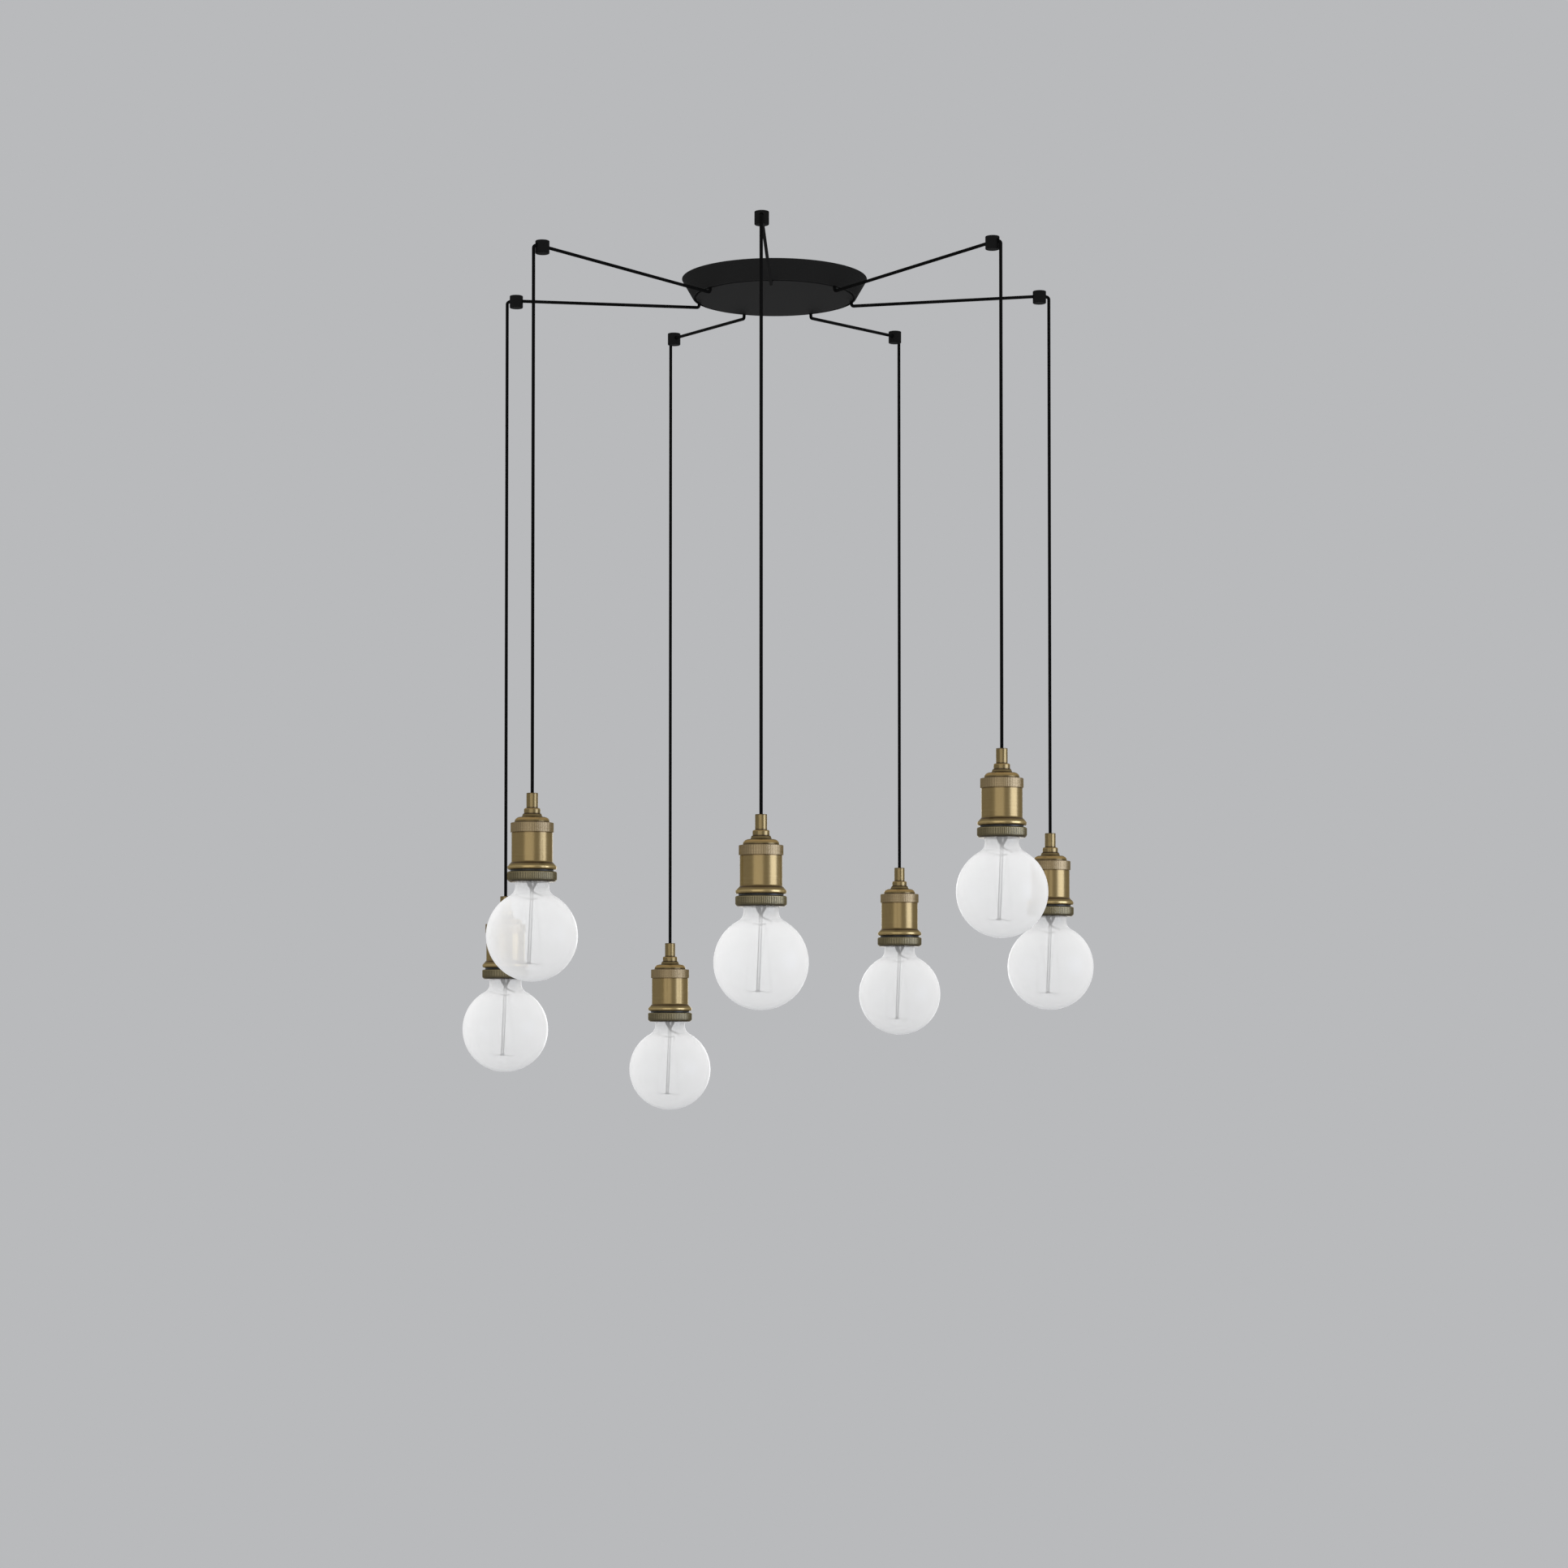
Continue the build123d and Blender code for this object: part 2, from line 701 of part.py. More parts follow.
def make_bulb_base(plane):
    def place(angle, radius, depth):
        return plane.origin + radial(angle) * radius + Vector(0, 0, -depth)

    thread_bottom = thread_top + thread_turns * thread_pitch
    cap_inner = thread_root_radius - cap_wall
    rim_inner = cap_rim_radius - 2 * cap_wall
    tube_start = rod_radius + wire_gap
    upper_depth = ring_bottom + upper_spider_drop
    lower_depth = ring_bottom + lower_spider_drop
    arm_step = 360 / spider_arms
    with BuildPart() as bulb_base:
        with BuildSketch(plane):
            with BuildLine():
                middle = thread_line()
                Polyline(
                    (middle, thread_bottom),
                    (middle, cap_rim_top),
                    (cap_rim_radius, cap_rim_top),
                    (cap_rim_radius, cap_rim_bottom),
                    (rim_inner, cap_rim_bottom),
                    (cap_inner, cap_rim_top),
                    (cap_inner, thread_top),
                    (middle, thread_top),
                )
            make_face()
        revolve(axis=down_axis(plane))
        turned(
            plane,
            [
                (0, insulator_top, 0),
                (tip_radius, insulator_top, 0),
                (insulator_radius, thread_top, 0),
                (0, thread_top, 0),
            ],
        )
        turned(
            plane,
            [
                (0, tip_top, 0),
                (tip_radius, tip_top, tip_edge),
                (tip_radius, insulator_top, 0),
                (0, insulator_top, 0),
            ],
        )
        for angle in (90, 270):
            bent_wire(
                [
                    place(angle, tube_start, ring_bottom + wire_start_drop),
                    place(angle, wire_reach / 2, ring_bottom + wire_start_drop),
                    place(angle, wire_reach, ring_bottom + wire_end_drop),
                ],
                [wire_bend],
                wire_radius,
            )
        for arm in range(spider_arms):
            angle = arm * arm_step
            bent_wire(
                [
                    place(angle, tube_start, lower_depth),
                    place(angle, lower_spider_reach / 2, lower_depth),
                    place(angle, lower_spider_reach, lower_depth + wire_bend),
                ],
                [wire_bend],
                wire_radius,
            )
            bent_wire(
                [
                    place(angle + arm_step / 2, tube_start, upper_depth),
                    place(angle + arm_step / 2, upper_spider_reach / 2, upper_depth),
                    place(angle + arm_step / 2, upper_spider_reach, upper_depth - wire_bend),
                ],
                [wire_bend / 2],
                wire_radius,
            )
        lower_loop = lower_spider_reach + wire_radius + filament_radius + wire_gap
        upper_loop = upper_spider_reach + wire_radius + filament_radius + wire_gap
        upper_fold = upper_depth - wire_bend - filament_overrun
        lower_fold = lower_depth + wire_bend + filament_overrun
        strands = [place(-arm_step / 2, upper_loop, upper_fold)]
        for arm in range(spider_arms - 1):
            angle = arm * arm_step
            strands.append(place(angle, lower_loop, lower_fold))
            strands.append(place(angle + arm_step / 2, upper_loop, upper_fold))
        strands.append(place(-arm_step, lower_loop, lower_fold))
        bent_wire(strands, [filament_bend] * (len(strands) - 2), filament_radius)
    return bulb_base.part


# Lamps
for k in range(lamp_count):
    number = k + 1
    angle = hook_angles[k]
    holder_depth = holder_depths[k]
    lamp_plane = section(angle, cord_hang_radius, holder_depth)
    with BuildPart() as cord_drop:
        with BuildSketch(level(drop_start_depth, cord_hang_radius, angle)):
            Circle(cord_radius)
        extrude(amount=holder_depth + cord_end_local - drop_start_depth)
    finish(cord_drop.part, f"cord_drop_{number}")
    finish(make_holder_top(lamp_plane), f"holder_top_{number}")
    finish(make_holder_sleeve(lamp_plane), f"holder_sleeve_{number}")
    finish(make_socket_insert(lamp_plane), f"socket_insert_{number}")
    finish(make_shade_ring(lamp_plane), f"shade_ring_{number}")
    finish(make_bulb_glass(lamp_plane), f"bulb_glass_{number}")
    finish(make_bulb_base(lamp_plane), f"bulb_base_{number}")
    print("lamp", number, "bottom", round(holder_depth + bulb_centre + bulb_radius, 1))
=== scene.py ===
import bpy
import numpy as np
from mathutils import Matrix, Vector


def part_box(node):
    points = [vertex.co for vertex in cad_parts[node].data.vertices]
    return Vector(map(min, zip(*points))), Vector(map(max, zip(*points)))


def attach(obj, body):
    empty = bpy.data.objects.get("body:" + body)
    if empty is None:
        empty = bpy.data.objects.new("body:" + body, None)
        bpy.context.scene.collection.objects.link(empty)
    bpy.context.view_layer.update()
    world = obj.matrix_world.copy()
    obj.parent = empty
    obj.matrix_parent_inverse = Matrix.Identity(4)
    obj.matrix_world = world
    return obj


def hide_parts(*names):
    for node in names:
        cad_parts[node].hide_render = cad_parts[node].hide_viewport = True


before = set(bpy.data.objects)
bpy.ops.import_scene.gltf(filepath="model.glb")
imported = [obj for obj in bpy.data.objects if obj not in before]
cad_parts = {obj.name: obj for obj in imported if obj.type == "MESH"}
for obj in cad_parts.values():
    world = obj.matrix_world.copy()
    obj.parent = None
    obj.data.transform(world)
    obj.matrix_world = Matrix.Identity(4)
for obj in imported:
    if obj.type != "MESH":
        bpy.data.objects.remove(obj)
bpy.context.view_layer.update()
print("frame:", len(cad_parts), "nodes")

scene = bpy.context.scene
mm = 0.001
# lengths in metres, and shares, below which two values count as the same
tiny = 1e-7


def hexToLinear(code):
    # sRGB to linear: a straight part near black, then a power of 2.4
    value = np.array([int(code[i : i + 2], 16) for i in (1, 3, 5)]) / 255
    linear = np.where(value <= 0.04045, value / 12.92, ((value + 0.055) / 1.055) ** 2.4)
    return (*linear.tolist(), 1.0)


def addNode(tree, kind, links=None, **settings):
    node = tree.nodes.new(kind)
    for name, value in settings.items():
        setattr(node, name, value)
    for socket, value in (links or {}).items():
        if isinstance(value, bpy.types.NodeSocket):
            tree.links.new(value, node.inputs[socket])
        else:
            node.inputs[socket].default_value = value
    return node


# Camera, fitted to the seven hooks of the photograph
cameraSettings = {
    "place": (0.15605, -3.63302, -0.84310),
    "tiltUp": 1.8474,
    "turnLeft": 2.2951,
    "lens": 76.605,
    "sensor": 36.0,
    "shiftY": 0.1,
    "clip": (0.05, 60),
}
camera = bpy.data.objects.new("camera", bpy.data.cameras.new("camera"))
scene.collection.objects.link(camera)
camera.data.sensor_width = cameraSettings["sensor"]
camera.data.lens = cameraSettings["lens"]
camera.data.shift_y = cameraSettings["shiftY"]
camera.data.clip_start, camera.data.clip_end = cameraSettings["clip"]
camera.location = cameraSettings["place"]
camera.rotation_euler = (
    np.radians(90 + cameraSettings["tiltUp"]),
    0,
    np.radians(cameraSettings["turnLeft"]),
)
scene.camera = camera


# Lamps: each hangs on its own pendant body, its place read from the holder's box
lampNumbers = range(1, 8)


def lampPlace(number):
    low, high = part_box(f"holder_top_{number}")
    return np.array([(low.x + high.x) / 2, (low.y + high.y) / 2, high.z])


lampPlaces = {number: lampPlace(number) for number in lampNumbers}


# Cords. Points are (distance from the centre, depth below the ceiling) in millimetres.
cordShape = {
    "diameter": 3.5,
    "run": [(86.2, 12), (86.2, 19.4), (86.2, 25.7), (92.4, 25.1), (289.9, 6.8), (310.8, 4.9), (310.8, 9.2)],
    "dropStart": 9.3,
    "hookStretch": 21,
    "hiddenInHolder": 45.6,
    "runLength": 0.2397,
    "lengthSteps": 12,
    "roundSteps": 6,
}


cordDiameter = cordShape["diameter"] * mm


def cordCurve(name, points):
    data = bpy.data.curves.new(name, "CURVE")
    data.dimensions = "3D"
    line = data.splines.new("NURBS")
    line.points.add(len(points) - 1)
    # the radius sits on the points, so that the curve's own box is as thick as the cord
    for point, place in zip(line.points, points):
        point.co = (*place, 1)
        point.radius = cordDiameter / 2
    line.order_u = 3
    line.use_endpoint_u = True
    line.resolution_u = cordShape["lengthSteps"]
    data.bevel_depth = 1
    data.bevel_resolution = cordShape["roundSteps"]
    data.use_fill_caps = True
    piece = bpy.data.objects.new(name, data)
    scene.collection.objects.link(piece)
    return piece


def addRun(number, place):
    # From the canopy to the hook and over it, straight out from the centre
    outward = np.array([place[0], place[1], 0]) / np.hypot(place[0], place[1])
    points = [outward * radius * mm - np.array([0, 0, depth * mm]) for radius, depth in cordShape["run"]]
    run = cordCurve(f"cordRun_{number}", points)
    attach(run, "root")
    if number == 1:
        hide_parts("cord_runs")
    return run


def addDrop(number, place):
    # From the hook down into the holder
    top = -cordShape["dropStart"] * mm
    end = place[2] - cordShape["hiddenInHolder"] * mm
    stretch = cordShape["hookStretch"] * mm
    points = [(place[0], place[1], height) for height in (top, top - stretch, end + stretch, end)]
    drop = cordCurve(f"cordDrop_{number}", points)
    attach(drop, f"pendant_{number}")
    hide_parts(f"cord_drop_{number}")
    return drop


cords = []
for number in lampNumbers:
    cords += [addRun(number, lampPlaces[number]), addDrop(number, lampPlaces[number])]
print("cords:", len(cords))


def roundedLine(corners, steps=6):
    # Closed line through (radius, depth, rounding) corners, in metres: each corner becomes an arc
    # that touches both of its sides, turned evenly from one touching point to the other.
    table = np.array(corners, float) * mm
    point, rounding = table[:, :2], table[:, 2]
    before = np.roll(point, 1, axis=0) - point
    after = np.roll(point, -1, axis=0) - point
    before /= np.linalg.norm(before, axis=1)[:, None]
    after /= np.linalg.norm(after, axis=1)[:, None]
    corner = np.arccos(np.clip((before * after).sum(1), -1, 1))
    reach = rounding / np.tan(corner / 2)
    start = point + before * reach[:, None]
    end = point + after * reach[:, None]
    middle = before + after
    length = np.linalg.norm(middle, axis=1)
    middle /= np.where(length > tiny, length, 1)[:, None]
    centre = point + middle * (rounding / np.sin(corner / 2))[:, None]
    turn = np.pi - corner
    safeTurn = np.where(np.abs(np.sin(turn)) > tiny, turn, 1)
    share = np.linspace(0, 1, steps + 1)[None, :, None]
    angle = safeTurn[:, None, None]
    fromStart = np.sin((1 - share) * angle) * (start - centre)[:, None, :]
    fromEnd = np.sin(share * angle) * (end - centre)[:, None, :]
    line = (centre[:, None, :] + (fromStart + fromEnd) / np.sin(angle)).reshape(-1, 2)
    gap = np.linalg.norm(line - np.roll(line, 1, axis=0), axis=1)
    return line[gap > tiny]


def divided(line, step, outside, coarse=8):
    # The same closed line with more points: a step apart where the radius is larger than outside, and as
    # many steps apart as coarse says elsewhere.
    closed = np.vstack([line, line[:1]])
    travel = np.concatenate([[0], np.cumsum(np.linalg.norm(np.diff(closed, axis=0), axis=1))])
    added = np.arange(0, travel[-1], step * mm)
    wanted = (np.interp(added, travel, closed[:, 0]) > outside * mm) | (np.arange(len(added)) % coarse == 0)
    marks = np.union1d(travel, added[wanted])
    marks = marks[np.concatenate([[True], np.diff(marks) > tiny])]
    marks = marks[marks < travel[-1] - tiny]
    return np.stack([np.interp(marks, travel, closed[:, axis]) for axis in (0, 1)], axis=1)


def pieceLine(shape):
    # A turned piece's closed line, with its points close together on the outside, where ribs, oxide and
    # painted light show.
    rounded = roundedLine(shape["corners"], shape["roundSteps"])
    return divided(rounded, shape["step"], shape["fineOutside"])


def arcLine(centre, radius, startAngle, endAngle, count):
    # Points of an arc, as (radius, depth): the angle runs evenly from start to end.
    angle = np.radians(np.linspace(startAngle, endAngle, count))
    return np.stack([centre[0] + radius * np.cos(angle), centre[1] + radius * np.sin(angle)], axis=1)


def turnedSurface(place, line, segments, ripple=None, surfaceMarking=None):
    # Closed line carried round an upright axis: x = r sin(angle), y = -r cos(angle), z = -depth.
    # The ripple adds to the radius, and the marking, oxide with painted shade and painted highlights, is kept
    # for the material; both come from the angle and the line's points. Points on the axis stay single.
    forward = np.roll(line, -1, axis=0)
    area = (line[:, 0] * -forward[:, 1] + forward[:, 0] * line[:, 1]).sum()
    line = line if area > 0 else line[::-1]
    angle = np.arange(segments) * 2 * np.pi / segments
    radius = line[:, :1] + np.zeros(segments)
    if ripple is not None:
        radius = radius + ripple(angle[None, :], line)
    surfaceMark = surfaceMarking(angle[None, :], line) + np.zeros(segments) if surfaceMarking is not None else np.zeros(radius.shape)
    grid = np.stack(
        [
            place[0] + radius * np.sin(angle),
            place[1] - radius * np.cos(angle),
            place[2] - line[:, 1:] + np.zeros(segments),
        ],
        axis=2,
    )
    onAxis = line[:, 0] < tiny
    kept = np.ones(grid.shape[:2], bool)
    kept[onAxis, 1:] = False
    starts = np.cumsum(kept.sum(1)) - kept.sum(1)
    index = starts[:, None] + np.where(onAxis[:, None], 0, np.arange(segments))
    nextRow = np.roll(index, -1, axis=0)
    corners = np.stack([index, np.roll(index, -1, axis=1), np.roll(nextRow, -1, axis=1), nextRow], axis=2)
    travel = np.concatenate([[0], np.cumsum(np.linalg.norm(forward - line, axis=1))])
    around = angle * line[:, 0].max()
    step = around[1]
    uv = np.zeros((*corners.shape, 2))
    uv[..., 0] = around[None, :, None] + np.array([0, step, step, 0])
    uv[..., 1] = np.stack([travel[:-1], travel[:-1], travel[1:], travel[1:]], axis=1)[:, None, :]
    below = np.roll(onAxis, -1)
    full = ~onAxis & ~below
    toPole = ~onAxis & below
    fromPole = onAxis & ~below
    triangles = np.concatenate([corners[toPole][:, :, [0, 1, 2]], corners[fromPole][:, :, [0, 2, 3]]])
    triangleUv = np.concatenate([uv[toPole][:, :, [0, 1, 2]], uv[fromPole][:, :, [0, 2, 3]]])
    return (
        grid[kept],
        corners[full].reshape(-1, 4),
        triangles.reshape(-1, 3),
        uv[full].reshape(-1, 2),
        triangleUv.reshape(-1, 2),
        surfaceMark[kept],
    )


# Points to each bend of a wire
pathSteps = 8


def smoothPath(points):
    # Curve through the middles of the runs, drawn towards each point: (1-t)^2 a + 2t(1-t) p + t^2 b.
    point = np.array(points, float) * mm
    middle = (point[1:] + point[:-1]) / 2
    inner = point[1:-1]
    joints = np.vstack([point[:1], middle[1:-1], point[-1:]])
    start, end = joints[:-1], joints[1:]
    share = np.linspace(0, 1, pathSteps, endpoint=False)[None, :, None]
    bend = 2 * share * (1 - share) * inner[:, None]
    curve = (1 - share) ** 2 * start[:, None] + bend + share**2 * end[:, None]
    return np.vstack([curve.reshape(-1, 3), point[-1:]])


def wireSurface(path, radius, sides=8):
    # Circle carried along a path: two axes square to the path's direction, from cross products, the first
    # with a direction that no wire follows. A point in the middle of each end closes it. The radius may be
    # one number or one for each point.
    aside = (0.31, 0.89, 0.33)
    along = np.gradient(path, axis=0)
    along /= np.linalg.norm(along, axis=1)[:, None]
    first = np.cross(along, aside)
    first /= np.linalg.norm(first, axis=1)[:, None]
    second = np.cross(along, first)
    angle = np.arange(sides) * 2 * np.pi / sides
    width = np.broadcast_to(np.asarray(radius, float), (len(path),))[:, None, None]
    ring = np.cos(angle)[None, :, None] * first[:, None] + np.sin(angle)[None, :, None] * second[:, None]
    grid = path[:, None] + width * ring
    index = np.arange(len(path) * sides).reshape(len(path), sides)
    turned = np.roll(index, -1, axis=1)
    quads = np.stack([index[:-1], turned[:-1], turned[1:], index[1:]], axis=2).reshape(-1, 4)
    startPole, endPole = len(path) * sides, len(path) * sides + 1
    startCap = np.stack([np.full(sides, startPole), turned[0], index[0]], axis=1)
    endCap = np.stack([np.full(sides, endPole), index[-1], turned[-1]], axis=1)
    triangles = np.vstack([startCap, endCap])
    points = np.vstack([grid.reshape(-1, 3), path[:1], path[-1:]])
    travel = np.concatenate([[0], np.cumsum(np.linalg.norm(np.diff(path, axis=0), axis=1))])
    share = angle * float(np.max(radius))
    step = share[1]
    uv = np.zeros((len(path) - 1, sides, 4, 2))
    uv[..., 0] = share[None, :, None] + np.array([0, step, step, 0])
    uv[..., 1] = np.stack([travel[:-1], travel[:-1], travel[1:], travel[1:]], axis=1)[:, None, :]
    return points, quads, triangles, uv.reshape(-1, 2), np.zeros((triangles.size, 2)), np.zeros(len(points))


def makePiece(name, surfaces, body, material, node, sharpAngle=35):
    shift = np.cumsum([0] + [len(surface[0]) for surface in surfaces])
    points = np.vstack([surface[0] for surface in surfaces])
    quads = np.vstack([surface[1] + offset for surface, offset in zip(surfaces, shift)])
    triangles = np.vstack([surface[2] + offset for surface, offset in zip(surfaces, shift)])
    mesh = bpy.data.meshes.new(name)
    mesh.from_pydata(points.tolist(), [], quads.tolist() + triangles.tolist())
    layer = mesh.uv_layers.new(name="UVMap")
    uv = np.vstack([surface[3] for surface in surfaces] + [surface[4] for surface in surfaces])
    layer.data.foreach_set("uv", uv.ravel())
    # the mark: oxide and painted shade where above 0, a painted highlight where below 0, and in the glass its
    # neck
    surfaceMark = mesh.attributes.new("surfaceMark", "FLOAT", "POINT")
    surfaceMark.data.foreach_set("value", np.concatenate([surface[5] for surface in surfaces]))
    mesh.polygons.foreach_set("use_smooth", np.ones(len(mesh.polygons), bool))
    mesh.set_sharp_from_angle(angle=np.radians(sharpAngle))
    mesh.materials.append(material)
    piece = bpy.data.objects.new(name, mesh)
    scene.collection.objects.link(piece)
    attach(piece, body)
    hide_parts(node)


def newMaterial(name, **sockets):
    material = bpy.data.materials.new(name)
    material.use_nodes = True
    tree = material.node_tree
    shader = tree.nodes["Principled BSDF"]
    for socket, value in sockets.items():
        shader.inputs[socket.replace("_", " ")].default_value = value
    return material, tree, shader


def objectNoise(tree, size):
    # Noise whose grains are about the given size in millimetres, on the object's own coordinates.
    place = addNode(tree, "ShaderNodeTexCoord")
    return addNode(
        tree,
        "ShaderNodeTexNoise",
        {"Vector": place.outputs["Object"], "Scale": 1 / (size * mm), "Detail": 3.0},
    )


def addBump(tree, shader, height, depth):
    # Depth in millimetres
    bump = addNode(tree, "ShaderNodeBump", {"Height": height, "Distance": depth * mm, "Strength": 1.0})
    tree.links.new(bump.outputs[0], shader.inputs["Normal"])


def toneByNoise(tree, shader, noise, low, high, spread=0.2):
    ramp = addNode(tree, "ShaderNodeValToRGB", {"Fac": noise})
    ramp.color_ramp.elements[0].position = 0.5 - spread
    ramp.color_ramp.elements[1].position = 0.5 + spread
    ramp.color_ramp.elements[0].color = hexToLinear(low)
    ramp.color_ramp.elements[1].color = hexToLinear(high)
    tree.links.new(ramp.outputs[0], shader.inputs["Base Color"])
    return ramp


def roughnessByNoise(tree, shader, noise, low, high):
    spread = addNode(
        tree,
        "ShaderNodeMapRange",
        {"Value": noise, "From Min": 0.3, "From Max": 0.7, "To Min": low, "To Max": high},
    )
    tree.links.new(spread.outputs[0], shader.inputs["Roughness"])


def powderCoat(name, low, high, grain):
    # Powder coat on spun steel: baked matt paint, almost no shine, and a fine orange peel that keeps
    # what shine there is from forming a mirror image
    material, tree, shader = newMaterial(name, Roughness=0.75, Specular_IOR_Level=0.02)
    noise = objectNoise(tree, grain)
    toneByNoise(tree, shader, noise.outputs[0], low, high)
    roughnessByNoise(tree, shader, noise.outputs[0], 0.7, 0.8)
    addBump(tree, shader, noise.outputs[0], 0.01)
    return material


def oxideShadeAndHighlight(tree, shader, tone, dark, bright):
    # In grooves, corners and undersides the colour goes to a dark brown, partly oxide and partly painted
    # shade, and on crests to a bright colour, a painted highlight. The attribute is 1 for the dark and -1 for
    # the highlight.
    surfaceMark = addNode(tree, "ShaderNodeAttribute", attribute_name="surfaceMark")
    paintedHighlight = addNode(tree, "ShaderNodeMath", {0: surfaceMark.outputs["Fac"], 1: -1.0}, operation="MULTIPLY")
    colour = tone.outputs[0]
    for amount, target in ((surfaceMark.outputs["Fac"], dark), (paintedHighlight.outputs[0], bright)):
        blend = addNode(
            tree,
            "ShaderNodeMix",
            {0: amount, 6: colour, 7: hexToLinear(target)},
            data_type="RGBA",
            clamp_factor=True,
        )
        colour = blend.outputs[2]
    tree.links.new(colour, shader.inputs["Base Color"])


brushing = {
    "amount": 0.6,
    "quarterTurn": 0.25,
    "edgeTint": "#c9b98c",
    "lacquer": 0.5,
    "lacquerRoughness": 0.25,
    "lineLength": 40,
    "lineDepth": 0.003,
    "toneSpread": 0.1,
}


def turnedBrass(name, low, high, dark, bright, roughness, lineSize):
    # Brass turned and brushed on a lathe, aged and lacquered: the lines run round the piece, so a lamp's
    # reflection is drawn out along the axis into an upright strip
    material, tree, shader = newMaterial(
        name,
        Metallic=1.0,
        Roughness=roughness,
        Anisotropic=brushing["amount"],
        Anisotropic_Rotation=brushing["quarterTurn"],
        Specular_Tint=hexToLinear(brushing["edgeTint"]),
        Coat_Weight=brushing["lacquer"],
        Coat_Roughness=brushing["lacquerRoughness"],
    )
    way = addNode(tree, "ShaderNodeTangent", direction_type="UV_MAP", uv_map="UVMap")
    tree.links.new(way.outputs[0], shader.inputs["Tangent"])
    place = addNode(tree, "ShaderNodeUVMap", uv_map="UVMap")
    # lines are about 0.15 mm apart on such a piece, drawn coarser so that they show
    stretched = addNode(
        tree,
        "ShaderNodeMapping",
        {"Vector": place.outputs[0], "Scale": (1 / (brushing["lineLength"] * mm), 1 / (lineSize * mm), 1)},
    )
    lines = addNode(
        tree, "ShaderNodeTexNoise", {"Vector": stretched.outputs[0], "Scale": 1.0, "Detail": 2.0}
    )
    tone = toneByNoise(tree, shader, lines.outputs[0], low, high, brushing["toneSpread"])
    # dark colour: oxide and painted shade; bright colour: a painted highlight, both placed by the mark
    # attribute
    oxideShadeAndHighlight(tree, shader, tone, dark, bright)
    roughnessByNoise(tree, shader, lines.outputs[0], roughness - 0.02, roughness + 0.03)
    addBump(tree, shader, lines.outputs[0], brushing["lineDepth"])
    return material


def hazyGlass(name, tint, haze, neckLoss, leastCosine=0.05):
    # Blown glass with a faint white haze: the haze hides more where the wall is seen slantwise, because
    # the way through it is longer. It hides 1 - exp(-haze / cosine of the angle to the surface), with the
    # cosine kept above its least. In the neck, where the attribute is 1, a share of the haze is lost.
    material, tree, shader = newMaterial(
        name, Roughness=0.3, Specular_IOR_Level=0.3, Base_Color=hexToLinear(tint)
    )
    facing = addNode(tree, "ShaderNodeLayerWeight", {"Blend": 0.5})
    cosine = addNode(tree, "ShaderNodeMath", {0: 1.0, 1: facing.outputs["Facing"]}, operation="SUBTRACT")
    limited = addNode(tree, "ShaderNodeMath", {0: cosine.outputs[0], 1: leastCosine}, operation="MAXIMUM")
    neck = addNode(tree, "ShaderNodeAttribute", attribute_name="surfaceMark")
    here = addNode(
        tree,
        "ShaderNodeMath",
        {0: neck.outputs["Fac"], 1: haze * neckLoss, 2: -haze},
        operation="MULTIPLY_ADD",
    )
    depth = addNode(
        tree, "ShaderNodeMath", {0: here.outputs[0], 1: limited.outputs[0]}, operation="DIVIDE"
    )
    through = addNode(tree, "ShaderNodeMath", {0: depth.outputs[0]}, operation="EXPONENT")
    hidden = addNode(tree, "ShaderNodeMath", {0: 1.0, 1: through.outputs[0]}, operation="SUBTRACT")
    tree.links.new(hidden.outputs[0], shader.inputs["Alpha"])
    return material


def drawnGlassRod(name, edge, middleAlpha=0.12):
    # Drawn glass rod: clear in the middle, and dark along both edges where light bends out of it
    material, tree, shader = newMaterial(name, Roughness=0.1, Base_Color=hexToLinear(edge))
    facing = addNode(tree, "ShaderNodeLayerWeight", {"Blend": 0.5})
    amount = addNode(
        tree,
        "ShaderNodeMapRange",
        {
            "Value": facing.outputs["Facing"],
            "From Min": 0.03,
            "From Max": 0.25,
            "To Min": middleAlpha,
            "To Max": 1.0,
        },
    )
    tree.links.new(amount.outputs[0], shader.inputs["Alpha"])
    return material


def satinMatter(name, low, high, roughness, grain, shine=0.5):
    # Moulded plastic or rubber, or metal under an oxide: even colour, satin, faintly mottled
    material, tree, shader = newMaterial(name, Roughness=roughness, Specular_IOR_Level=shine)
    noise = objectNoise(tree, grain)
    toneByNoise(tree, shader, noise.outputs[0], low, high)
    return material


def brightMetal(name, low, high, roughness, grain):
    # Plated or bare metal: it mirrors the room softly, with faint clouds in its surface
    material, tree, shader = newMaterial(name, Metallic=1.0, Roughness=roughness)
    noise = objectNoise(tree, grain)
    toneByNoise(tree, shader, noise.outputs[0], low, high)
    roughnessByNoise(tree, shader, noise.outputs[0], roughness - 0.04, roughness + 0.06)
    return material


# Spun steel under black powder coat: deep matt black without a mirror image
canopyPaint = powderCoat("blackPowderCoat", "#1b1b1b", "#202020", 0.7)
# Turned steel, painted: the same, a little deeper
hookPaint = powderCoat("blackPaintedHook", "#131313", "#181818", 0.6)

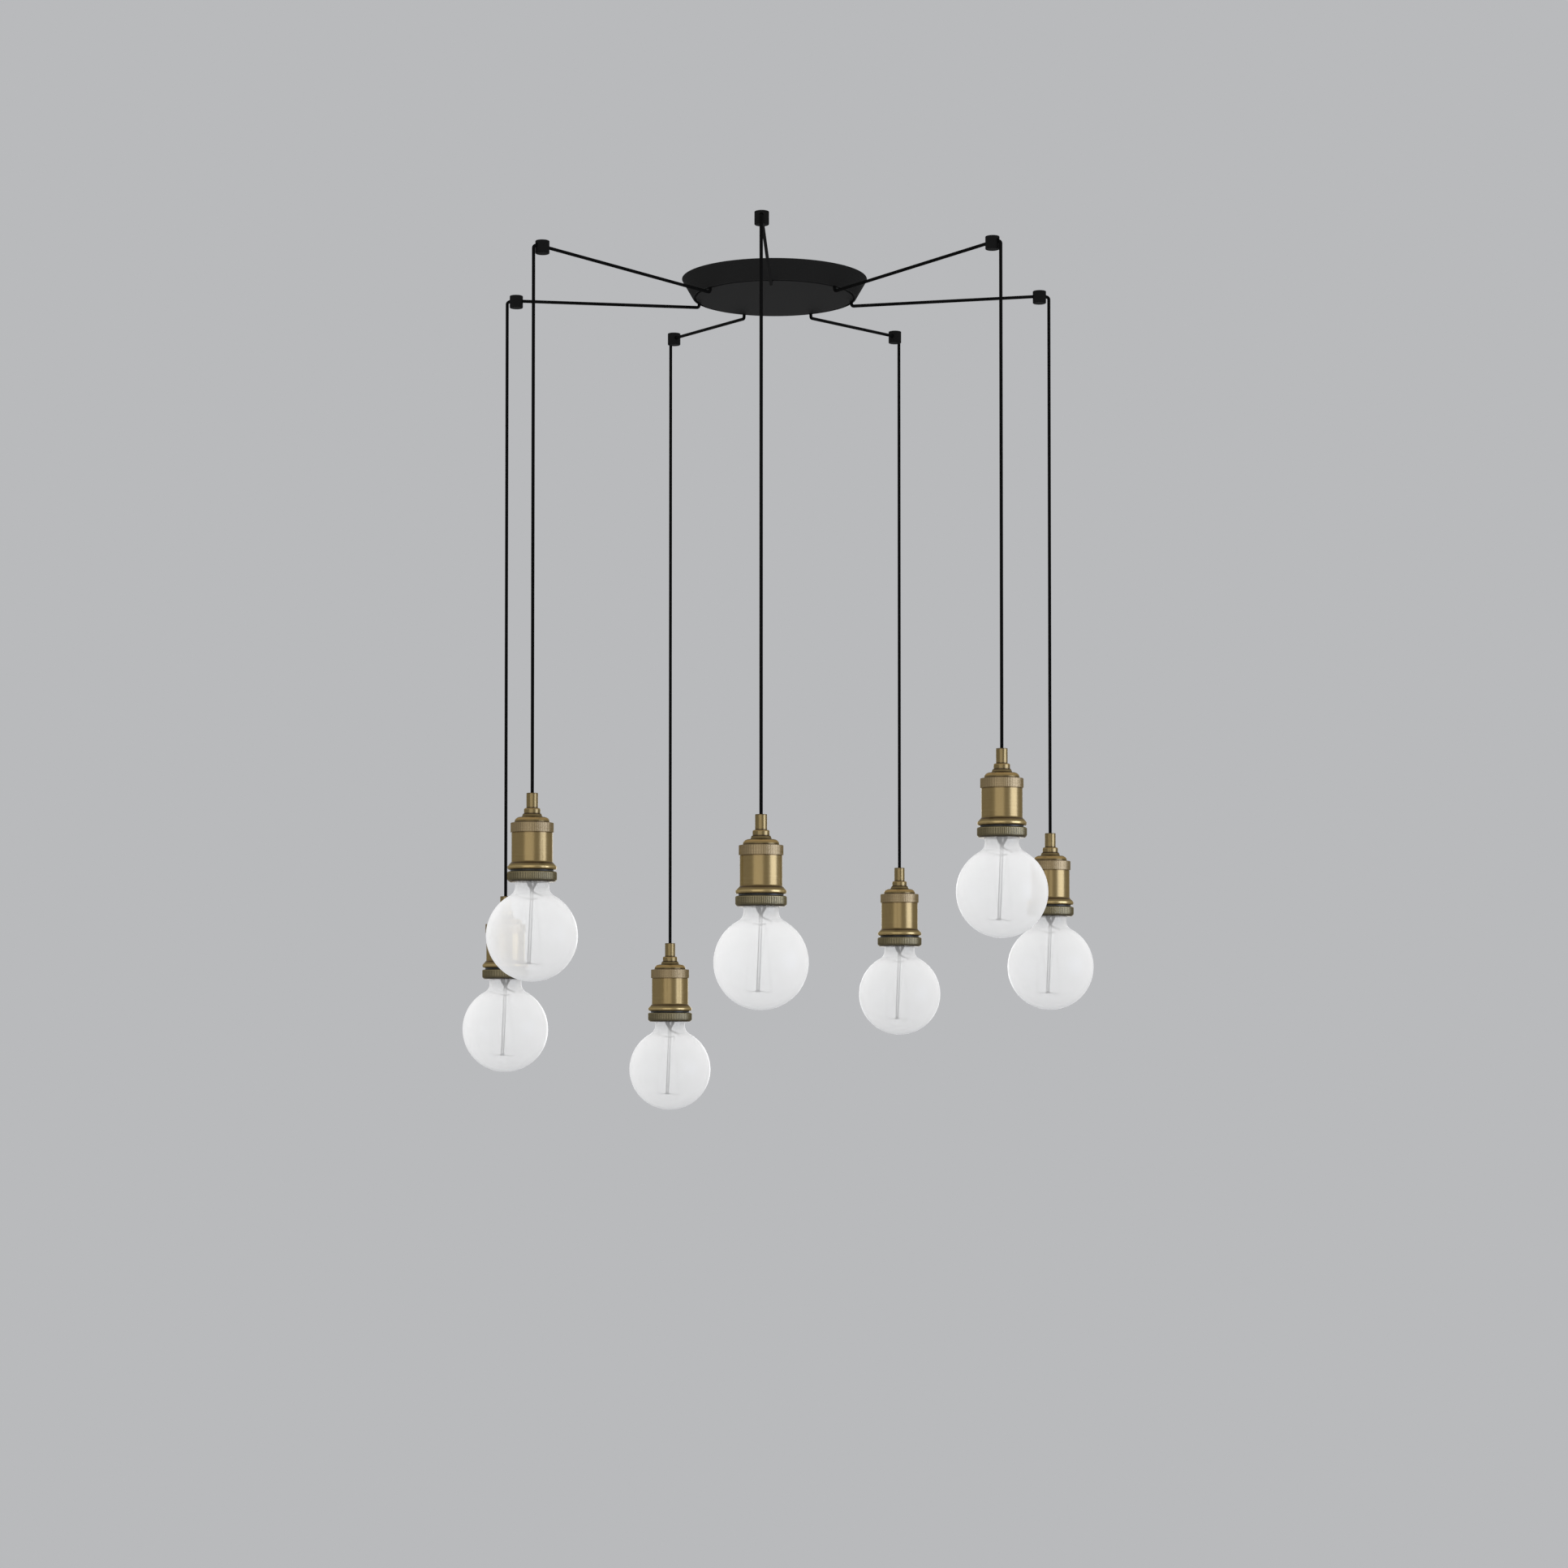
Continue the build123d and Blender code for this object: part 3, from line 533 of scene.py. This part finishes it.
# Brass, turned and brushed, in four finishes: golden sleeve, browner top with painted highlights on its
# crests, pale knurl, greenish ring with almost black grooves, oxide and painted shade. Each takes its low and
# high tone, its dark colour for oxide and painted shade, and its painted highlight colour.
sleeveBrass = turnedBrass("brushedAgedBrass", "#866f43", "#a08b5b", "#4a330f", "#cdb47a", 0.34, 0.5)
crownBrass = turnedBrass("turnedAgedBrass", "#7f6c41", "#907c50", "#38260e", "#cfa968", 0.34, 0.6)
knurlBrass = turnedBrass("knurledAgedBrass", "#9b865f", "#ac9771", "#5a4a30", "#c9b180", 0.4, 1.2)
ringBrass = turnedBrass("darkKnurledBrass", "#867a56", "#938765", "#0c0904", "#a79c78", 0.36, 1.2)

# Blown glass, hazy inside: nearly white where it curves away, with the wires dim behind it
bulbGlass = hazyGlass("hazyBlownGlass", "#ffffff", 0.55, 0.45)
# Drawn glass: two dark lines with a clear strip between them
stemGlass = drawnGlassRod("drawnGlassRod", "#0f1012")
# Tungsten, drawn to a hair: a thin grey line
filamentMetal = brightMetal("drawnTungstenWire", "#55534f", "#65625d", 0.4, 1)
# Nickel wire, oxidised by heat: black, without a glint
wireMetal = satinMatter("oxidisedNickelWire", "#030303", "#060606", 0.5, 1, 0.15)
# Brass cap, nickel plated: warm bright silver
capMetal = brightMetal("nickelPlatedBrass", "#a39c8c", "#b9b2a2", 0.28, 3)
# Phenolic, moulded: the dark gap between the sleeve's bead and the ring
darkPhenolic = satinMatter("darkPhenolicInsert", "#22211a", "#2c2b23", 0.4, 1.5, 0.4)

# Rubber, extruded: black and dull, so a cord is one even line
cordJacket = satinMatter("rubberCordJacket", "#080808", "#0c0c0c", 0.75, 2.0, 0.03)
# Steel, zinc plated: cool grey with faint clouds
zincSteel = brightMetal("zincPlatedSteel", "#a3a5a6", "#bcbec0", 0.38, 4)
# Magnet, nickel plated: the shiniest metal inside the canopy
magnetNickel = brightMetal("nickelPlatedMagnet", "#9a9a9a", "#b4b4b4", 0.2, 2)
# Nylon, moulded, uncoloured: creamy white terminal block
terminalNylon = satinMatter("terminalNylon", "#d6d3c6", "#e2dfd3", 0.45, 1.2)
# Brass, turned and left bare: yellow screw heads
terminalMetal = brightMetal("terminalBrass", "#a88a4a", "#c1a463", 0.33, 1.5)
# Insulation, extruded: brown leads
leadPlastic = satinMatter("leadInsulation", "#5c2f1a", "#6a3a22", 0.4, 0.8)
# Nylon, moulded, black: satin bushes and hook bases
bushNylon = satinMatter("blackNylonBush", "#101010", "#181818", 0.5, 0.6)

nodeFinish = {
    "canopy_shell": canopyPaint,
    "canopy_cover": canopyPaint,
    "ceiling_bracket": zincSteel,
    "cover_magnets": magnetNickel,
    "terminal_block": terminalNylon,
    "terminal_screws": terminalMetal,
    "inner_leads": leadPlastic,
    "cord_bushes": bushNylon,
    "cord_runs": cordJacket,
    "hook_bases": bushNylon,
    "hook_caps": hookPaint,
    "cord_drop": cordJacket,
    "holder_top": crownBrass,
    "holder_sleeve": sleeveBrass,
    "socket_insert": darkPhenolic,
    "shade_ring": ringBrass,
    "bulb_glass": bulbGlass,
    "bulb_base": capMetal,
}
for name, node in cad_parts.items():
    finish = nodeFinish.get(name) or nodeFinish[name.rsplit("_", 1)[0]]
    node.data.materials.clear()
    node.data.materials.append(finish)
for cord in cords:
    cord.data.materials.append(cordJacket)
print("materials:", len(bpy.data.materials))


# Lamp holders. Corners are (radius, depth, rounding) in millimetres below the holder's top. Marked places are
# (depth, spread, amount): a plus darkens, oxide and painted shade at corners, joints and undersides, and a
# minus is a painted highlight. Points are a step apart outside fineOutside.
crownShape = {
    "corners": [
        (1.9, 0, 0),
        (6.0, 0, 0.4),
        (6.0, 15.7, 0),
        (8.5, 15.7, 1.6),
        (8.5, 21.5, 0),
        (9.5, 21.5, 0),
        (11.0, 25.0, 0),
        (18.45, 25.0, 5.5),
        (18.45, 32.2, 0),
        (17.25, 32.2, 0),
        (17.25, 26.2, 4.3),
        (1.9, 26.2, 0),
    ],
    "roundSteps": 6,
    "step": 0.4,
    "fineOutside": 5.5,
    "segments": 96,
    "sharpAngle": 35,
    # dark at the stem's top and foot, under the collar and at the dome's joints: oxide and painted shade; the
    # minus entries, on the collar's top and on the dome, are painted highlights
    "marked": [
        (0.4, 0.5, 0.6),
        (15.4, 0.7, 0.9),
        (16.6, 0.5, -0.6),
        (21.6, 0.8, 1.0),
        (24.8, 0.7, 1.0),
        (27.2, 1.2, -0.8),
        (30.6, 0.8, 1.0),
    ],
}
bandShape = {
    "corners": [
        (18.4, 31.0, 0),
        (22.3, 31.0, 0.5),
        (22.3, 41.0, 0.25),
        (21.4, 41.0, 0),
        (21.4, 32.2, 0),
        (18.4, 32.2, 0),
    ],
    "roundSteps": 3,
    "step": 0.5,
    "fineOutside": 22.0,
    "sharpAngle": 50,
    "radius": 22.3,
    "top": 31.0,
    "bottom": 41.0,
    "ribs": 82,
    "ribDepth": 0.22,
    "fade": 0.5,
    # dark between the ribs and along the lower edge: oxide and painted shade
    "grooveShadeAndOxide": 0.6,
    "marked": [(41.0, 0.5, 0.5)],
}
sleeveShape = {
    "corners": [
        (20.3, 32.4, 0),
        (21.3, 32.4, 0),
        (21.3, 71.6, 2.2),
        (23.9, 74.4, 1.4),
        (25.6, 76.3, 1.7),
        (25.45, 79.5, 1.9),
        (22.6, 80.0, 0),
        (20.3, 80.0, 0),
    ],
    "roundSteps": 8,
    "step": 0.6,
    "fineOutside": 21.2,
    "segments": 144,
    "sharpAngle": 35,
    # dark at the neck, under the bead and just below the band: oxide and painted shade; the bead's crest is a
    # painted highlight
    "marked": [(72.9, 1.0, 1.0), (76.8, 1.0, -0.8), (80.0, 0.9, 1.0), (41.2, 0.7, 0.8)],
}
ringShape = {
    "corners": [
        (19.9, 81.7, 0),
        (25.7, 81.7, 1.4),
        (25.7, 92.4, 3.6),
        (18.3, 92.4, 0),
        (18.3, 89.5, 0),
        (19.9, 89.5, 0),
    ],
    "roundSteps": 8,
    "step": 0.5,
    "fineOutside": 20.5,
    "sharpAngle": 50,
    "radius": 25.7,
    "top": 83.1,
    "bottom": 89.6,
    "ribs": 84,
    "ribDepth": 0.34,
    "fade": 1.4,
    # almost black between the ribs, along the top edge and over the whole underside: oxide and painted shade
    "grooveShadeAndOxide": 1.0,
    "marked": [(81.7, 0.6, 0.8), (92.4, 3.0, 1.0)],
}
# Points to a rib, how far inside the outer radius the grooves darken, with oxide and painted shade, and how
# far the ribs start and reach their full depth
ribReach = {"points": 4, "marked": 1.0, "start": 3.0, "rise": 1.5}


def surfaceMarking(shape):
    # How far each point is marked: a bell curve round each listed depth, added up, and a cosine of the angle
    # that is highest between the ribs. On brass a plus is oxide and painted shade and a minus a painted
    # highlight; on the bulb it marks the neck.
    def amount(angle, line):
        depth = line[:, 1] / mm
        total = np.zeros(len(line))
        for middle, spread, most in shape["marked"]:
            total = total + most * np.exp(-(((depth - middle) / spread) ** 2))
        total = total[:, None] + np.zeros(angle.shape)
        if "ribs" in shape:
            inside = (depth > shape["top"]) & (depth < shape["bottom"])
            inside = inside & (line[:, 0] / mm > shape["radius"] - ribReach["marked"])
            # darker between the ribs: oxide and painted shade in the grooves
            groove = shape["grooveShadeAndOxide"] * (0.5 + 0.5 * np.cos(shape["ribs"] * angle)) ** 2
            total = np.maximum(total, inside[:, None] * groove)
        return total

    return amount


def ribbed(shape):
    # The radius goes in by a cosine of the angle, deepest between ribs, and less towards either end.
    def ripple(angle, line):
        depth = line[:, 1] / mm
        inside = np.clip((depth - shape["top"] + shape["fade"]) / shape["fade"], 0, 1)
        inside = inside * np.clip((shape["bottom"] + shape["fade"] - depth) / shape["fade"], 0, 1)
        outer = line[:, 0] / mm - shape["radius"] + ribReach["start"]
        outer = np.clip(outer / ribReach["rise"], 0, 1)
        wave = 0.5 + 0.5 * np.cos(shape["ribs"] * angle)
        return -shape["ribDepth"] * mm * (inside * outer)[:, None] * wave

    return ripple


holderPieces = [
    ("holderCrown", crownShape, "pendant", "dark_aged_brass", crownBrass, "holder_top"),
    ("knurledBand", bandShape, "pendant", "dark_aged_brass", knurlBrass, "holder_top"),
    ("brushedSleeve", sleeveShape, "pendant", "aged_brass", sleeveBrass, "holder_sleeve"),
    ("shadeRing", ringShape, "ring", "dark_aged_brass", ringBrass, "shade_ring"),
]


def makeHolder(number, place):
    for name, shape, body, slot, brass, node in holderPieces:
        isRibbed = "ribs" in shape
        segments = shape["ribs"] * ribReach["points"] if isRibbed else shape["segments"]
        ripple = ribbed(shape) if isRibbed else None
        surface = turnedSurface(place, pieceLine(shape), segments, ripple, surfaceMarking(shape))
        makePiece(
            f"{name}_{number}",
            [surface],
            f"{body}_{number}",
            brass,
            f"{node}_{number}",
            shape["sharpAngle"],
        )


# Bulbs. Sizes in millimetres, depths from the holder's top. The neck's entry under marked thins its haze, and
# capNeck holds the depths of the glass's top inside the cap, and of the start and end of its cone.
bulbShape = {
    "radius": 47.5,
    "centre": 148.0,
    "neckRadius": 17.5,
    "neckBottom": 97.0,
    "capNeckRadius": 11.2,
    "capNeck": (72.3, 84.3, 90.8),
    "flarePoints": 16,
    "globePoints": 72,
    "segments": 144,
    "marked": [(95.0, 8.0, 1.0)],
}


def glassLine():
    # Neck, then an arc that touches the neck and the globe, then the globe down to its foot.
    drop = bulbShape["centre"] - bulbShape["neckBottom"]
    neck, globe = bulbShape["neckRadius"], bulbShape["radius"]
    flare = (neck**2 + drop**2 - globe**2) / (2 * (globe - neck))
    centre = (neck + flare, bulbShape["neckBottom"])
    touch = np.degrees(np.arctan2(drop, centre[0]))
    top, cone, coneEnd = bulbShape["capNeck"]
    narrow = bulbShape["capNeckRadius"]
    return np.vstack(
        [
            [(0, top), (narrow, top), (narrow, cone), (neck, coneEnd)],
            arcLine(centre, flare, 180, 180 - touch, bulbShape["flarePoints"]),
            arcLine((0, bulbShape["centre"]), globe, -touch, 90, bulbShape["globePoints"])[1:],
        ]
    )


# the outer skin alone, closed across the cap: the haze of its material stands for the thin wall
envelope = glassLine() * mm
envelope[:, 0] = np.where(np.abs(envelope[:, 0]) < tiny, 0, envelope[:, 0])

stemShape = {
    "corners": [
        (0, 73.3, 0),
        (10.0, 73.3, 0),
        (10.0, 75.3, 0),
        (4.5, 75.3, 0),
        (4.5, 93.1, 0),
        (1.8, 98.1, 0),
        (1.8, 175.6, 0),
        (2.2, 176.2, 0.2),
        (2.2, 177.6, 0.6),
        (0, 177.6, 0),
    ],
    "segments": 48,
    "leanTop": 99.5,
    "lean": 2.3,
}
capShape = {
    "crest": 13.03,
    "root": 12.1,
    "pitch": 3.63,
    "top": 64.4,
    "bottom": 82.55,
    "threadInset": 0.3,
    "rootReach": 0.1,
    "corners": [
        (11.6, 64.4, 0),
        (12.56, 64.4, 0.3),
        (12.56, 84.3, 0),
        (14.15, 84.3, 0.3),
        (14.15, 86.0, 0.2),
        (13.15, 86.0, 0),
        (11.6, 84.3, 0),
    ],
    "roundSteps": 6,
    "step": 0.45,
    "fineOutside": 12.5,
    "segments": 96,
    "contactSegments": 48,
    "insulator": [(0, 61.0, 0), (4.8, 61.0, 0), (11.3, 64.4, 0), (0, 64.4, 0)],
    "tip": [(0, 58.8, 0), (4.8, 58.8, 1.2), (4.8, 61.0, 0), (0, 61.0, 0)],
}
# Wires in the bulb. Each is (first radius, last radius, points), in millimetres, and a point is to the right,
# towards the back and below the foot of the holder's ring.
wireShape = {
    "foot": 92.4,
    "mount": [
        (1.6, 1.4, [(-4.4, 0, -2), (-3.9, 0, 2.0), (-1.6, 0, 5.4), (0.3, 0, 9.2)]),
        (1.1, 1.3, [(-1.6, 0, -1), (-1.2, 0, 2.0), (-0.4, 0, 5.0), (0.4, 0, 8.4)]),
        (0.9, 1.1, [(4.9, 0, -2), (4.6, 0, 1.0), (2.2, 0, 4.4), (0.4, 0, 8.6)]),
        (1.5, 1.0, [(0.2, 0, 7.0), (0.5, 0, 8.8), (1.2, 0, 10.8)]),
        (0.8, 0.7, [(0.8, 0, 9.4), (2.2, 0, 10.9), (4.6, 0, 12.2), (8.2, 0, 13.2), (9.9, 0, 14.6)]),
        (1.0, 0.8, [(8.8, 0, 13.5), (9.5, 0, 14.1), (10.3, 0, 15.2)]),
        (1.1, 0.8, [(-0.9, 0, 18.2), (0.3, 0, 17.8), (1.6, 0, 17.5)]),
        (0.7, 0.55, [(0.8, 0, 17.7), (2.4, 0, 17.4), (5.3, 0, 17.0)]),
        (1.0, 1.0, [(-5.2, 0, 84.7), (-4.0, 0, 83.4), (-2.4, 0, 83.6), (-0.8, 0, 84.7)]),
        (0.3, 0.2, [(-4.9, 0, 84.4), (-8.0, 0, 84.2), (-11.4, 0, 85.2), (-13.2, 0, 83.4), (-15.2, 0, 83.0)]),
        (0.3, 0.2, [(-1.0, 0, 84.4), (1.6, 0, 84.2), (5.6, 0, 85.8), (8.4, 0, 85.0), (10.4, 0, 84.6)]),
        (0.3, 0.2, [(-2.9, -0.6, 84.4), (-2.7, -3.5, 84.0), (-3.2, -7.5, 85.2), (-2.9, -12.8, 84.2)]),
        (0.3, 0.2, [(-2.9, 0.6, 84.4), (-3.1, 3.5, 84.6), (-2.6, 7.5, 83.6), (-2.9, 12.8, 84.6)]),
        (
            0.3,
            0.2,
            [
                (-0.5, 0, 18.1),
                (-3.2, -0.4, 17.2),
                (-7.4, -0.9, 16.2),
                (-10.4, -1.4, 16.3),
                (-13.5, -1.8, 14.8),
            ],
        ),
        (0.25, 0.2, [(-0.3, 0.4, 18.3), (-3.0, 2.6, 18.4), (-5.9, 5.0, 17.0), (-8.9, 8.2, 17.4)]),
        (0.25, 0.2, [(0.3, -0.4, 18.3), (2.0, -3.2, 18.2), (3.6, -6.0, 17.2), (5.2, -9.6, 17.4)]),
    ],
    "filamentRadius": 0.05,
    "filamentSides": 5,
    "filament": [
        (-15.2, 0, 83.0),
        (-13.5, -1.8, 14.8),
        (-2.9, -12.8, 84.2),
        (5.2, -9.6, 17.4),
        (10.4, 0, 84.6),
        (5.3, 0, 17.0),
        (-2.9, 12.8, 84.6),
        (-8.9, 8.2, 17.4),
        (-15.2, 0, 83.0),
    ],
}


def belowRing(place, points):
    # Points (to the right, towards the back, below the ring's foot) in millimetres, set at a lamp.
    return (np.asarray(points, float) + (0, 0, wireShape["foot"])) * (1, 1, -1) + place / mm


def leaned(surface, place):
    # Rod that leans to the left as it goes down: the shift is the depth below its top times the tangent of
    # its lean.
    points = surface[0].copy()
    below = np.clip(place[2] - stemShape["leanTop"] * mm - points[:, 2], 0, None)
    points[:, 0] -= below * np.tan(np.radians(stemShape["lean"]))
    return (points, *surface[1:])


def screwThread(angle, line):
    # One cosine wave a pitch, which moves down by a pitch in each turn.
    depth = line[:, 1:] / mm
    inset = capShape["threadInset"]
    inside = (depth > capShape["top"] + inset) & (depth < capShape["bottom"] - inset)
    outside = line[:, :1] / mm > capShape["root"] - capShape["rootReach"]
    amount = (capShape["crest"] - capShape["root"]) / 2 * mm
    wave = np.cos(2 * np.pi * depth / capShape["pitch"] - angle)
    return np.where(inside & outside, amount * wave, 0)


def makeBulb(number, place):
    body = f"bulb_{number}"
    glassNode, baseNode = f"bulb_glass_{number}", f"bulb_base_{number}"
    makePiece(
        f"globeGlass_{number}",
        [turnedSurface(place, envelope, bulbShape["segments"], None, surfaceMarking(bulbShape))],
        body,
        bulbGlass,
        glassNode,
    )
    rod = turnedSurface(place, roundedLine(stemShape["corners"]), stemShape["segments"])
    makePiece(f"glassRod_{number}", [leaned(rod, place)], body, stemGlass, glassNode)
    makePiece(
        f"screwCap_{number}",
        [
            turnedSurface(place, pieceLine(capShape), capShape["segments"], screwThread),
            turnedSurface(place, roundedLine(capShape["insulator"]), capShape["contactSegments"]),
            turnedSurface(place, roundedLine(capShape["tip"]), capShape["contactSegments"]),
        ],
        body,
        capMetal,
        baseNode,
    )


def makeWires(number, place):
    body, node = f"bulb_{number}", f"bulb_base_{number}"
    wires = []
    for firstRadius, lastRadius, points in wireShape["mount"]:
        path = smoothPath(belowRing(place, points))
        wires.append(wireSurface(path, np.linspace(firstRadius, lastRadius, len(path)) * mm))
    makePiece(f"mountWires_{number}", wires, body, wireMetal, node)
    strands = belowRing(place, wireShape["filament"]) * mm
    threads = [
        wireSurface(np.linspace(start, end, 3), wireShape["filamentRadius"] * mm, wireShape["filamentSides"])
        for start, end in zip(strands[:-1], strands[1:])
    ]
    makePiece(f"filament_{number}", threads, body, filamentMetal, node)


for number in lampNumbers:
    makeHolder(number, lampPlaces[number])
    makeBulb(number, lampPlaces[number])
    makeWires(number, lampPlaces[number])
    print("lamp:", number)


# Light: an even pale room, three soft boxes that the brass reflects, and a pale floor far below. The right
# and back boxes are there for reflections alone, so that the white globes stay even. Lengths are in metres,
# powers in watts, and azimuths in degrees to the right of the front.
lightSettings = {
    "roomLevel": 1.0,
    "roomSeen": "#b9babc",
    "floorDepth": 2.4,
    "floorSide": 5.0,
    "floorColour": "#b6b7b9",
    "boxHeight": -0.65,
    "boxes": [
        {
            "name": "rightBox",
            "azimuth": 68,
            "distance": 2.6,
            "width": 1.9,
            "height": 1.4,
            "power": 36,
            "tint": "#d6e2ff",
            "diffuse": False,
        },
        {
            "name": "leftBox",
            "azimuth": -12,
            "distance": 4.6,
            "width": 4.4,
            "height": 1.6,
            "power": 28,
            "tint": "#ffffff",
            "diffuse": True,
        },
        {
            "name": "backBox",
            "azimuth": 180,
            "distance": 4.6,
            "width": 2.6,
            "height": 1.6,
            "power": 24,
            "tint": "#ffffff",
            "diffuse": False,
        },
    ],
}
world = bpy.data.worlds.new("room")
scene.world = world
world.use_nodes = True
worldTree = world.node_tree
worldTree.nodes.clear()
rays = addNode(worldTree, "ShaderNodeLightPath")
direct = addNode(
    worldTree,
    "ShaderNodeMath",
    {0: rays.outputs["Is Camera Ray"], 1: rays.outputs["Is Glossy Ray"]},
    operation="MAXIMUM",
)
shown = addNode(
    worldTree,
    "ShaderNodeMath",
    {0: direct.outputs[0], 1: rays.outputs["Is Transmission Ray"]},
    operation="MAXIMUM",
)
seenLight = addNode(
    worldTree,
    "ShaderNodeBackground",
    {"Color": hexToLinear(lightSettings["roomSeen"]), "Strength": 1.0},
)
roomLight = addNode(
    worldTree,
    "ShaderNodeBackground",
    {"Color": hexToLinear("#ffffff"), "Strength": lightSettings["roomLevel"]},
)
mixed = addNode(
    worldTree,
    "ShaderNodeMixShader",
    {"Fac": shown.outputs[0], 1: roomLight.outputs[0], 2: seenLight.outputs[0]},
)
addNode(worldTree, "ShaderNodeOutputWorld", {"Surface": mixed.outputs[0]})

middle = np.array([0, 0, lightSettings["boxHeight"]])
for box in lightSettings["boxes"]:
    lamp = bpy.data.objects.new(box["name"], bpy.data.lights.new(box["name"], "AREA"))
    scene.collection.objects.link(lamp)
    lamp.data.shape = "RECTANGLE"
    lamp.data.size = box["width"]
    lamp.data.size_y = box["height"]
    lamp.data.energy = box["power"]
    lamp.data.color = hexToLinear(box["tint"])[:3]
    lamp.visible_diffuse = box["diffuse"]
    turn = np.radians(box["azimuth"])
    lamp.location = middle + box["distance"] * np.array([np.sin(turn), -np.cos(turn), 0])
    lamp.rotation_euler = (np.pi / 2, 0, turn)

half, floorHeight = lightSettings["floorSide"] / 2, -lightSettings["floorDepth"]
floorCorners = [(x * half, y * half, floorHeight) for x, y in ((-1, -1), (1, -1), (1, 1), (-1, 1))]
floorMesh = bpy.data.meshes.new("paleFloor")
floorMesh.from_pydata(floorCorners, [], [(0, 1, 2, 3)])
# Matt paint: it sends no reflection back up, so it can't be told from the room behind it
floorPaint = newMaterial(
    "paleStudioFloor",
    Base_Color=hexToLinear(lightSettings["floorColour"]),
    Roughness=0.9,
    Specular_IOR_Level=0.0,
)
floorMesh.materials.append(floorPaint[0])
floor = bpy.data.objects.new("paleFloor", floorMesh)
scene.collection.objects.link(floor)

scene.view_settings.view_transform = "Standard"
